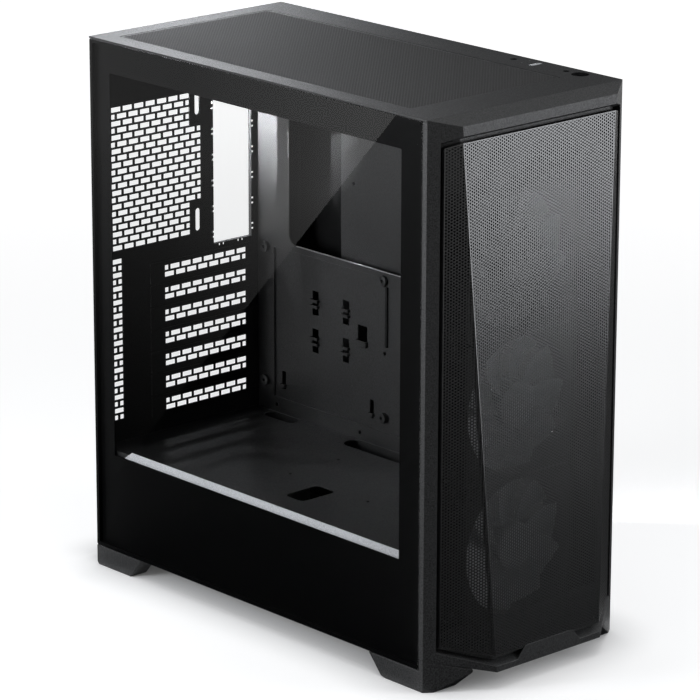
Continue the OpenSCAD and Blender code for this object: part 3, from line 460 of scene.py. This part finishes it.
def perforated(name, corners, across, up, low, high):
    """A strip of a facet, punched with a close six-sided pattern of holes, between two heights."""
    normal = across.cross(up)
    start = sum(corners, Vector()) / len(corners)
    radius = HOLE_PITCH / sqrt(3)
    wide = max(abs((c - start).dot(across)) for c in corners)
    span = [(c - start).dot(up) for c in corners]
    bottom = max(min(span), low)
    top = min(max(span), high)
    first_row = math.floor(bottom / HOLE_PITCH) - 1
    rows = math.ceil((top - bottom) / HOLE_PITCH) + 3
    columns = math.ceil(wide / (1.5 * radius)) + 1
    clear()
    bpy.ops.mesh.primitive_circle_add(vertices=6, radius=radius, fill_type="NGON",
                                      rotation=(0, 0, radians(30)))
    cell = bpy.context.object
    bpy.ops.object.transform_apply(rotation=True)
    edit(cell)
    bpy.ops.mesh.select_all(action="SELECT")
    bpy.ops.mesh.inset(thickness=WEB / 2)
    bpy.ops.mesh.delete(type="FACE")
    clear()
    step = Matrix.Translation(((-columns // 2) * 3 * radius, first_row * HOLE_PITCH, 0))
    cell.data.transform(step)
    for count, offset in ((2, (1.5 * radius, HOLE_PITCH / 2, 0)), (columns + 2, (3 * radius, 0, 0)),
                          (rows, (0, HOLE_PITCH, 0))):
        use(cell, "ARRAY", count=count, use_relative_offset=False, use_constant_offset=True,
            constant_offset_displace=offset, use_merge_vertices=True, merge_threshold=1e-6)
    edit(cell, "VERT")
    bpy.ops.mesh.select_all(action="SELECT")
    bpy.ops.mesh.remove_doubles(threshold=2e-6)
    cuts = []
    for a, b in zip(corners, corners[1:] + corners[:1]):
        flat_a = Vector(((a - start).dot(across), (a - start).dot(up), 0))
        flat_b = Vector(((b - start).dot(across), (b - start).dot(up), 0))
        out = (flat_b - flat_a).cross(Vector((0, 0, 1))).normalized()
        cuts.append((flat_a - out * (RIM - 0.1 * MM), out))
    cuts += [(Vector((0, low, 0)), Vector((0, -1, 0))), (Vector((0, high, 0)), Vector((0, 1, 0)))]
    for point, out in cuts:
        bpy.ops.mesh.select_all(action="SELECT")
        bpy.ops.mesh.bisect(plane_co=point, plane_no=out, clear_outer=True, threshold=1e-7)
    clear()
    cell.data.transform(Matrix.Translation(start) @ Matrix((across, up, normal)).transposed().to_4x4())
    use(cell, "SOLIDIFY", thickness=SHEET, offset=-1.0)
    return dress(cell, name, SKIN["mesh_steel"], "bezel", "mesh_steel")


facets = {"front": outline("bezel_mesh", FRONT), "left": outline("bezel_mesh", LEFT),
          "right": outline("bezel_mesh", RIGHT)}
corners, across, up = facets["front"]
perforated("front_mesh_low", corners, across, up, -1.0, 0.0)
perforated("front_mesh_high", corners, across, up, 0.0, 1.0)
for side in ("left", "right"):
    corners, across, up = facets[side]
    perforated("side_mesh_" + side, corners, across, up, -1.0, 1.0)

# The rim: three facets joined, their outer edge folded back, their fields cut out
quads = []
for side in ("left", "front", "right"):
    clear()
    bpy.ops.mesh.primitive_plane_add(size=1)
    plane = bpy.context.object
    ring = [plane.data.vertices[i] for i in plane.data.polygons[0].vertices]
    for vert, corner in zip(ring, facets[side][0]):
        vert.co = corner
    quads.append(plane)
rim = join(quads, "mesh_rim")
edit(rim, "VERT")
bpy.ops.mesh.select_all(action="SELECT")
bpy.ops.mesh.remove_doubles(threshold=5e-5)
bpy.ops.mesh.normals_make_consistent(inside=False)
choose(rim, lambda e: e.is_boundary, "EDGE")
bpy.ops.mesh.extrude_edges_move(TRANSFORM_OT_translate={"value": (0, 4.5 * MM, 0)})
choose(rim, lambda f: -f.normal.y > 0.7 and f.calc_area() > 0.004)
bpy.ops.mesh.inset(thickness=RIM, use_individual=True)
bpy.ops.mesh.delete(type="FACE")
bpy.ops.mesh.select_all(action="SELECT")
bpy.ops.mesh.normals_make_consistent(inside=False)
clear()
use(rim, "SOLIDIFY", thickness=0.8 * MM, offset=-1.0, use_even_offset=True)
bevel(rim, 0.25 * MM)
finish_mesh(rim)
dress(rim, "mesh_rim", SKIN["mesh_steel"], "bezel", "mesh_steel", "bezel_mesh")

# ---------------------------------------------------------------- shells with eased edges
for node, width in (("bezel_frame", 0.45), ("roof_cover", 0.4), ("right_panel", 0.3), ("glass_frame", 0.1),
                    ("side_glass", 0.5), ("foot_front_left", 0.8), ("foot_front_right", 0.8),
                    ("foot_rear_left", 0.8), ("foot_rear_right", 0.8), ("foot_pads", 0.3),
                    ("roof_filter_frame", 0.3), ("psu_filter_frame", 0.4), ("psu_filter_rails", 0.25),
                    ("psu_pads", 0.5), ("psu_shroud", 0.2), ("window_rail", 0.2), ("front_wall", 0.3),
                    ("motherboard_tray", 0.25), ("tray_pressing", 0.2), ("board_standoffs", 0.3),
                    ("ssd_plate", 0.25), ("side_struts", 0.2), ("drive_cage", 0.25), ("drive_tray_1", 0.4),
                    ("drive_tray_2", 0.4), ("slot_ledge", 0.2), ("panel_sockets", 0.2), ("bezel_clips", 0.4),
                    ("io_housing", 0.25), ("power_button", 0.5), ("reset_button", 0.3),
                    ("audio_jack", 0.3), ("usb_port", 0.12), ("button_switches", 0.3),
                    ("fan_frame_1", 0.5), ("fan_frame_2", 0.5), ("fan_frame_3", 0.5)):
    ease(node, width)
for i in range(1, 8):
    ease("slot_cover_%d" % i, 0.15)

# The edge of the pane is painted black, as its border is
lo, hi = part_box("side_glass")
clear()
bpy.ops.mesh.primitive_plane_add(size=1, rotation=(0, radians(-90), 0), location=(hi.x, 0, 0))
band = bpy.context.object
band.location.y, band.location.z = (lo.y + hi.y) / 2, (lo.z + hi.z) / 2
band.scale = (hi.z - lo.z - 0.2 * MM, hi.y - lo.y - 0.2 * MM, 1)
bpy.ops.object.transform_apply(location=True, rotation=True, scale=True)
edit(band, "VERT")
bpy.ops.mesh.select_all(action="SELECT")
bpy.ops.mesh.bevel(offset=1.4 * MM, segments=4, affect="VERTICES")
finish_mesh(hoop(band, 3.2 * MM, (-(hi.x - lo.x) + 0.4 * MM, 0, 0)))
dress(band, "glass_edge_paint", SKIN["glass_border"], "glass_panel", "glass_border")

# The insulator and tongue inside the front socket
lo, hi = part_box("usb_port")
middle = (lo + hi) / 2
core = []
for wide, deep, drop in ((1.6, 1.6, 1.1), (3.4, 3.6, 0.5)):
    half = Vector((max(hi.x - lo.x - wide * MM, MM), max(hi.y - lo.y - deep * MM, MM),
                   hi.z - lo.z - 2 * drop * MM)) / 2
    core.append(block(middle - half, middle + half, 0.2 * MM))
dress(finish_mesh(join(core, "socket_tongue")), "socket_tongue", SKIN["pale_trim"], BODY_OF["usb_port"],
      "pale_trim")

# The flange round the ports' opening, turned out to the rear from the rear panel's outer face
PORTS_LOW, PORTS_HIGH = Vector((27.3, 222, 268)) * MM, Vector((71.75, 222, 426.75)) * MM
FLANGE, FLANGE_DEPTH = 0.6 * MM, 3.4 * MM
clear()
bpy.ops.mesh.primitive_plane_add(size=1, rotation=(radians(90), 0, 0), location=(PORTS_LOW + PORTS_HIGH) / 2)
flange = bpy.context.object
flange.scale = (PORTS_HIGH.x - PORTS_LOW.x + 2 * FLANGE, PORTS_HIGH.z - PORTS_LOW.z + 2 * FLANGE, 1)
bpy.ops.object.transform_apply(location=True, rotation=True, scale=True)
bevel(hoop(flange, FLANGE, (0, FLANGE_DEPTH, 0)), 0.15 * MM)
dress(finish_mesh(flange), "port_flange", SKIN["mesh_steel"], BODY_OF["rear_panel"], "black_steel")

# A bright metal strip under the cable opening, a painted highlight standing in for light on the folded edge, and
# the rib in front of the board's corner
for name, low, high, width, skin, slot in (
        ("tray_edge", (76.6, 27, 267.3), (78.2, 167, 268.2), 0.4, metal("edge_highlight_metal", 0.4, 0.4), "stud_steel"),
        ("tray_rib", (75.4, 47.8, 200.5), (77.4, 50.6, 255), 0.5, SKIN["black_steel"], "black_steel")):
    fold = block(Vector(low) * MM, Vector(high) * MM, width * MM, 4)
    dress(finish_mesh(fold), name, skin, BODY_OF["motherboard_tray"], slot)


# ---------------------------------------------------------------- screws and rivets
def disc(radius, low, high, sides=32):
    """An upright cylinder between two heights, with its transform applied."""
    clear()
    bpy.ops.mesh.primitive_cylinder_add(vertices=sides, radius=radius, depth=high - low,
                                        location=(0, 0, (low + high) / 2))
    bpy.ops.object.transform_apply(location=True)
    return bpy.context.object


def cross_cut(obj, arm, wide, low, high):
    """Cuts a cross-shaped recess into the top of a head."""
    for turn in (0, 90):
        clear()
        bpy.ops.mesh.primitive_cube_add(size=1, rotation=(0, 0, radians(turn)))
        tool = bpy.context.object
        tool.scale = (arm, wide, high - low)
        tool.location.z = (low + high) / 2
        bpy.ops.object.transform_apply(location=True, rotation=True, scale=True)
        edit(tool)
        choose(tool, lambda f: f.normal.z < -0.9)
        bpy.ops.transform.resize(value=(0.55, 0.55, 1))
        clear()
        use(obj, "BOOLEAN", operation="DIFFERENCE", object=tool, solver="EXACT")
        bpy.data.objects.remove(tool)


def screw(head_r, head_h, shank_r, shank_len):
    """A pan-head screw with a cross recess and ridges of thread; the head faces up from Z = 0."""
    head = disc(head_r, 0, head_h)
    edit(head)
    choose(head, lambda e: all(v.co.z > head_h * 0.9 for v in e.verts), "EDGE")
    bpy.ops.mesh.bevel(offset=head_h * 0.45, segments=4, affect="EDGES")
    clear()
    cross_cut(head, head_r * 1.2, head_r * 0.3, head_h * 0.35, head_h * 1.2)
    parts = [head, disc(shank_r * 0.88, -shank_len, 0.1 * MM, 20)]
    thread = 0.8 * MM
    for i in range(int(shank_len / thread)):
        ridge = disc(shank_r, -shank_len + (i + 0.2) * thread, -shank_len + (i + 0.75) * thread, 20)
        bevel(ridge, 0.16 * MM, 1, 60)
        parts.append(ridge)
    return join(parts, "screw")


def thumbscrew(radius, high, shank_r, shank_len):
    """A knurled thumbscrew with a cross-slotted end and a stepped collar."""
    head = disc(radius - 0.15 * MM, 1.1 * MM, high, 96)
    edit(head, "EDGE")
    choose(head, lambda e: abs(e.verts[0].co.z - e.verts[1].co.z) < 1e-6, "EDGE")
    bpy.ops.mesh.bevel(offset=0.5 * MM, segments=2, affect="EDGES")
    clear()
    for vert in head.data.vertices:
        flat = Vector((vert.co.x, vert.co.y))
        step = round((math.atan2(flat.y, flat.x) % (2 * pi)) / (2 * pi) * 96)
        if flat.length > radius * 0.96 and step % 2:
            vert.co.x, vert.co.y = flat * ((radius - 0.5 * MM) / flat.length)
    cross_cut(head, radius * 1.15, radius * 0.2, high * 0.7, high * 1.2)
    collar = disc(radius - 1.4 * MM, 0, 1.3 * MM, 48)
    bevel(collar, 0.25 * MM)
    shank = disc(shank_r, -shank_len, 0.2 * MM, 24)
    bevel(shank, 0.4 * MM)
    return join([head, collar, shank], "thumbscrew")


def rivet(radius, high):
    """A domed blind rivet with a dimple where its pin broke off."""
    head = disc(radius, 0, high, 28)
    edit(head)
    choose(head, lambda f: f.normal.z > 0.9)
    bpy.ops.mesh.inset(thickness=radius * 0.55)
    bpy.ops.mesh.inset(thickness=radius * 0.1)
    bpy.ops.transform.translate(value=(0, 0, -high * 0.6))
    choose(head, lambda e: all(abs(v.co.z - high) < 1e-7 and v.co.xy.length > radius * 0.9 for v in e.verts),
           "EDGE")
    bpy.ops.mesh.bevel(offset=high * 0.8, segments=3, affect="EDGES")
    clear()
    return head


def placed(node, master, spots, name, angle=35):
    """Copies of a fastener at each spot, joined into one piece that stands for the node."""
    copies = [copied(master, spot) for spot in spots]
    bpy.data.objects.remove(master)
    slot = SLOT_OF[node]
    dress(finish_mesh(join(copies, name), angle), name, SKIN[slot], BODY_OF[node], slot, node)


def facing(place, axis, spin=0.0):
    """The matrix that sets a fastener's head at a place, looking along the axis."""
    turn = Vector(axis).to_track_quat("Z", "Y").to_matrix().to_4x4()
    return Matrix.Translation(place) @ turn @ Matrix.Rotation(radians(spin), 4, "Z")


spots = [facing((lo.x + 2.2 * MM, (lo.y + hi.y) / 2, (lo.z + hi.z) / 2), (-1, 0, 0), 23 * i)
         for i, (lo, hi) in enumerate(solids_in("slot_screws"))]
placed("slot_screws", screw(3.4 * MM, 2.2 * MM, 1.45 * MM, 3.9 * MM), spots, "slot_screw_set")
spots = [facing(((lo.x + hi.x) / 2, hi.y - 2.4 * MM, (lo.z + hi.z) / 2), (0, 1, 0), 31 * i)
         for i, (lo, hi) in enumerate(solids_in("fan_screws"))]
placed("fan_screws", screw(4 * MM, 2.4 * MM, 2.05 * MM, 5 * MM), spots, "fan_screw_set")
spots = [facing(((lo.x + hi.x) / 2, hi.y - 7 * MM, (lo.z + hi.z) / 2), (0, 1, 0), 10)
         for lo, hi in solids_in("panel_thumbscrews")]
placed("panel_thumbscrews", thumbscrew(6 * MM, 7 * MM, 1.6 * MM, 5 * MM), spots, "thumbscrew_set")
spots = []
for lo, hi in solids_in("chassis_rivets"):
    centre = (lo + hi) / 2
    if hi.x - lo.x < hi.y - lo.y:
        spots.append(facing((hi.x, centre.y, centre.z), (-1, 0, 0)))
    else:
        spots.append(facing((centre.x, lo.y, centre.z), (0, 1, 0)))
placed("chassis_rivets", rivet(2.3 * MM, 0.6 * MM), spots, "rivet_set")

# ---------------------------------------------------------------- fan rotors
HUB_R, BLADE_R, BLADES = 20 * MM, 56 * MM, 9


def rotor():
    """A cup-shaped hub and its swept, cambered blades, with the axis along Z and the front at Z = 0."""
    clear()
    bpy.ops.mesh.primitive_cylinder_add(vertices=64, radius=HUB_R, depth=17 * MM, location=(0, 0, 10 * MM))
    hub = bpy.context.object
    bpy.ops.object.transform_apply(location=True)
    edit(hub)
    choose(hub, lambda f: f.normal.z < -0.9)
    bpy.ops.mesh.inset(thickness=6 * MM)
    bpy.ops.transform.translate(value=(0, 0, 0.5 * MM))
    bevel(hub, 1.8 * MM, 4)
    clear()
    bpy.ops.mesh.primitive_grid_add(x_subdivisions=12, y_subdivisions=10, size=1)
    blade = bpy.context.object
    for vert in blade.data.vertices:
        out, along = vert.co.x + 0.5, vert.co.y
        r = HUB_R - 0.8 * MM + out * (BLADE_R - HUB_R + 0.8 * MM)
        angle = radians(16 * out ** 1.4) + along * radians(50 - 12 * out)
        pitch = 14 - 3.5 * out
        height = 10.3 + pitch * along + 6.4 * (0.25 - along ** 2)
        vert.co = (r * cos(angle), r * sin(angle), height * MM)
    use(blade, "SOLIDIFY", thickness=1.3 * MM, offset=0.0)
    bevel(blade, 0.35 * MM, 2)
    blades = [copied(blade, Matrix.Rotation(2 * pi * i / BLADES, 4, "Z")) for i in range(BLADES)]
    bpy.data.objects.remove(blade)
    return join([hub] + blades, "rotor")


master = rotor()
for i in (1, 2, 3):
    lo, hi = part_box("fan_rotor_%d" % i)
    turn = Matrix.Translation((0, lo.y - 1.5 * MM, (lo.z + hi.z) / 2)) @ Matrix.Rotation(radians(-90), 4, "X")
    fan = copied(master, turn @ Matrix.Rotation(radians(17 * i), 4, "Z"))
    finish_mesh(fan, 35, outward=True)
    dress(fan, "fan_blades_%d" % i, SKIN["rotor_plastic"], BODY_OF["fan_rotor_%d" % i], "rotor_plastic",
          "fan_rotor_%d" % i)
bpy.data.objects.remove(master)

# ---------------------------------------------------------------- camera, floor and light
TARGET = Vector((0, 8, 245)) * MM
DISTANCE = 3321.24 * MM
AZIMUTH, ELEVATION, ROLL = radians(-42.5089), radians(16.6615), radians(0.1783)
SHIFT = (-3.078 * MM, -21.154 * MM)
back = Vector((sin(AZIMUTH) * cos(ELEVATION), -cos(AZIMUTH) * cos(ELEVATION), sin(ELEVATION)))
side_way = Vector((0, 0, 1)).cross(back).normalized()
rise = back.cross(side_way)
right_way = side_way * cos(ROLL) + rise * sin(ROLL)
up_way = rise * cos(ROLL) - side_way * sin(ROLL)
lens = bpy.data.cameras.new("camera")
lens.lens, lens.sensor_width = 202.19, 36.0
lens.clip_start, lens.clip_end = 0.1, 60
camera = bpy.data.objects.new("camera", lens)
bpy.context.scene.collection.objects.link(camera)
CAMERA_PLACE = TARGET + back * DISTANCE + right_way * SHIFT[0] + up_way * SHIFT[1]
camera.matrix_world = Matrix.Translation(CAMERA_PLACE) @ Matrix((right_way, up_way, back)).transposed().to_4x4()
bpy.context.scene.camera = camera

clear()
bpy.ops.mesh.primitive_plane_add(size=30)
floor = bpy.context.object
floor.name = "studio_floor"
n = Nodes("pale_floor")
rays = n.add("LightPath")
seen = n.math("MAXIMUM", rays.outputs["Is Camera Ray"],
              n.math("MAXIMUM", rays.outputs["Is Glossy Ray"], rays.outputs["Is Transmission Ray"]))
paper = n.add("BsdfDiffuse", {"Color": n.blend(n.noise(0.4), grey(0.70), grey(0.74))})
# The floor's white glow is dimmed towards the case: painted shade round it.
reach = n.add("VectorMath", {0: n.place}, operation="LENGTH").outputs["Value"]
glow_with_painted_shade = n.add("MapRange", {"Value": reach, "From Min": 0.3, "From Max": 2.4, "To Min": 0.66, "To Max": 1.0},
             interpolation_type="SMOOTHSTEP").outputs["Result"]
# Ambient occlusion dims the glow further close under the case: a painted contact shadow.
painted_contact_shadow = n.add("AmbientOcclusion", {"Distance": 0.045}, samples=16)
glow_with_painted_shade = n.math("MULTIPLY", glow_with_painted_shade, painted_contact_shadow.outputs["AO"])
glow = n.add("Emission", {"Color": grey(1.0), "Strength": n.math("MULTIPLY", seen, glow_with_painted_shade)})
floor.data.materials.append(n.close(n.add("AddShader", {0: paper.outputs[0], 1: glow.outputs[0]}).outputs[0]))

world = bpy.data.worlds.new("studio")
bpy.context.scene.world = world
world.use_nodes = True
tree = world.node_tree
tree.nodes.clear()
rays = tree.nodes.new("ShaderNodeLightPath")
level = rays.outputs["Is Camera Ray"]
for kind in ("Is Transmission Ray", "Is Glossy Ray"):
    either = tree.nodes.new("ShaderNodeMath")
    either.operation = "MAXIMUM"
    tree.links.new(level, either.inputs[0])
    tree.links.new(rays.outputs[kind], either.inputs[1])
    level = either.outputs[0]
mix = tree.nodes.new("ShaderNodeMix")
mix.inputs[2].default_value, mix.inputs[3].default_value = 0.1, 1.0
tree.links.new(level, mix.inputs[0])
sky = tree.nodes.new("ShaderNodeBackground")
tree.links.new(mix.outputs[0], sky.inputs["Strength"])
tree.links.new(sky.outputs[0], tree.nodes.new("ShaderNodeOutputWorld").inputs["Surface"])


def lamp(name, place, aim, width, height, power, spread=180):
    """A softbox at a place, aimed at a point."""
    data = bpy.data.lights.new(name, "AREA")
    data.shape, data.size, data.size_y, data.energy = "RECTANGLE", width, height, power
    data.spread = radians(spread)
    data.color = (0.94, 0.96, 1.0)
    obj = bpy.data.objects.new(name, data)
    bpy.context.scene.collection.objects.link(obj)
    obj.location = place
    obj.rotation_euler = (Vector(aim) - Vector(place)).to_track_quat("-Z", "Y").to_euler()
    return obj


lamp("front_softbox", (0.54, -0.81, 0.42), (0, -0.22, 0.37), 0.5, 0.5, 1.8, 120)
lamp("left_softbox", (-0.95, 0.34, 0.44), (-0.1, 0.02, 0.26), 0.36, 0.36, 2.5, 120)
lamp("left_rear_softbox", (-0.68, 1.05, 0.55), (-0.1, 0.05, 0.22), 0.4, 0.4, 0.7, 120)
lamp("tray_beam", (-0.85, 0.8, 0.5), (0.077, 0.21, 0.4), 0.05, 0.05, 0.31, 9)
lamp("roof_beam_left", (-0.8, 1.2, 1.3), (-0.12, 0.34, 0.47), 0.1, 0.1, 0.22, 14)
lamp("roof_beam_right", (0.74, 1.13, 0.9), (-0.09, 0.2, 0.47), 0.22, 0.22, 0.105, 30)
lamp("top_softbox", (0.1, 0.1, 2.4), (0, 0, 0.4), 1.6, 1.6, 15)


# Cloths seen only in reflections: the line where the two at the left meet slants across the glass
GLASS_X, GLASS_TOP = -0.109, 0.46
SIDE_RUN, REAR_RUN = 2.25, 2.46    # how far a reflected view runs in X and Y while it drops by 1
CLOTH_Z = 0.0008


def mirrored(y, z):
    """Where the floor is seen in the side glass at a point of it."""
    point = Vector((GLASS_X, y, z))
    way = point - CAMERA_PLACE
    way.x = -way.x
    return point + way * (-(z - MM) / way.z)


def cloth(name, marks, material, shades=False):
    """A dark cloth with the given corners, seen only in reflections, or also holding light back."""
    clear()
    bpy.ops.mesh.primitive_circle_add(vertices=len(marks), radius=1, fill_type="NGON")
    sheet = bpy.context.object
    sheet.name = name
    ring = [sheet.data.vertices[i] for i in sheet.data.polygons[0].vertices]
    for vert, mark in zip(ring, marks):
        vert.co = mark
    sheet.data.materials.append(material)
    sheet.visible_camera = sheet.visible_transmission = False
    sheet.visible_diffuse = sheet.visible_shadow = shades


n = Nodes("black_cloth")
black = n.close(n.add("BsdfDiffuse", {"Color": n.blend(n.noise(0.05), grey(0.003), grey(0.005))}).outputs[0])
# Glowing card, no lamp, seen only in reflections: a painted glare in the side glass, bright where the top of the
# glass shows it and towards the front, dark at its foot
n = Nodes("painted_glare_glow")
parts = n.add("SeparateXYZ", {"Vector": n.place})
height = n.math("DIVIDE", n.math("SUBTRACT", GLASS_X, parts.outputs[0]), SIDE_RUN)
along = n.math("SUBTRACT", parts.outputs[1], n.math("MULTIPLY", height, REAR_RUN))
climb = n.math("POWER", n.math("DIVIDE", height, GLASS_TOP, clamp=True), 2.2)
front = n.grade(along, 0.215, -0.13, 1.0, 2.4)
level = n.math("MULTIPLY", n.math("MULTIPLY", climb, front), 0.4)
painted_glare_card = n.close(n.add("Emission", {"Color": grey(1.0), "Strength": level}).outputs[0])
edge = [(-0.1587, 0.4732), (0.223, 0.059)]
foot = [(0.223, 0.004), (-0.189, 0.004), (-0.189, 0.4732)]
cloth("left_cloth", [mirrored(y, z) for y, z in edge + foot], black)
cloth("left_card", [mirrored(y, z) for y, z in edge + [(0.223, 0.4732)]], painted_glare_card)
cloth("front_cloth", [(x, y, CLOTH_Z) for x, y in ((-2, -0.2), (-1.8, -2.6), (1.6, -2.6), (2, -0.2))], black)
cloth("right_cloth", [(x, y, CLOTH_Z) for x, y in ((0.13, -0.19), (1.7, -0.19), (2.2, 1.6), (0.13, 1.2))], black)
cloth("bay_flag", [(x, 0.245, z) for x, z in ((-0.1, 0.004), (0.1, 0.004), (0.1, 0.112), (-0.1, 0.112))],
      black, shades=True)
cloth("rear_flag", [(0.2, 1.9, 0.3), (2.2, 0.6, 0.3), (2.2, 0.6, 2.1), (0.2, 1.9, 2.1)], black)

bpy.context.scene.view_settings.view_transform = "Standard"
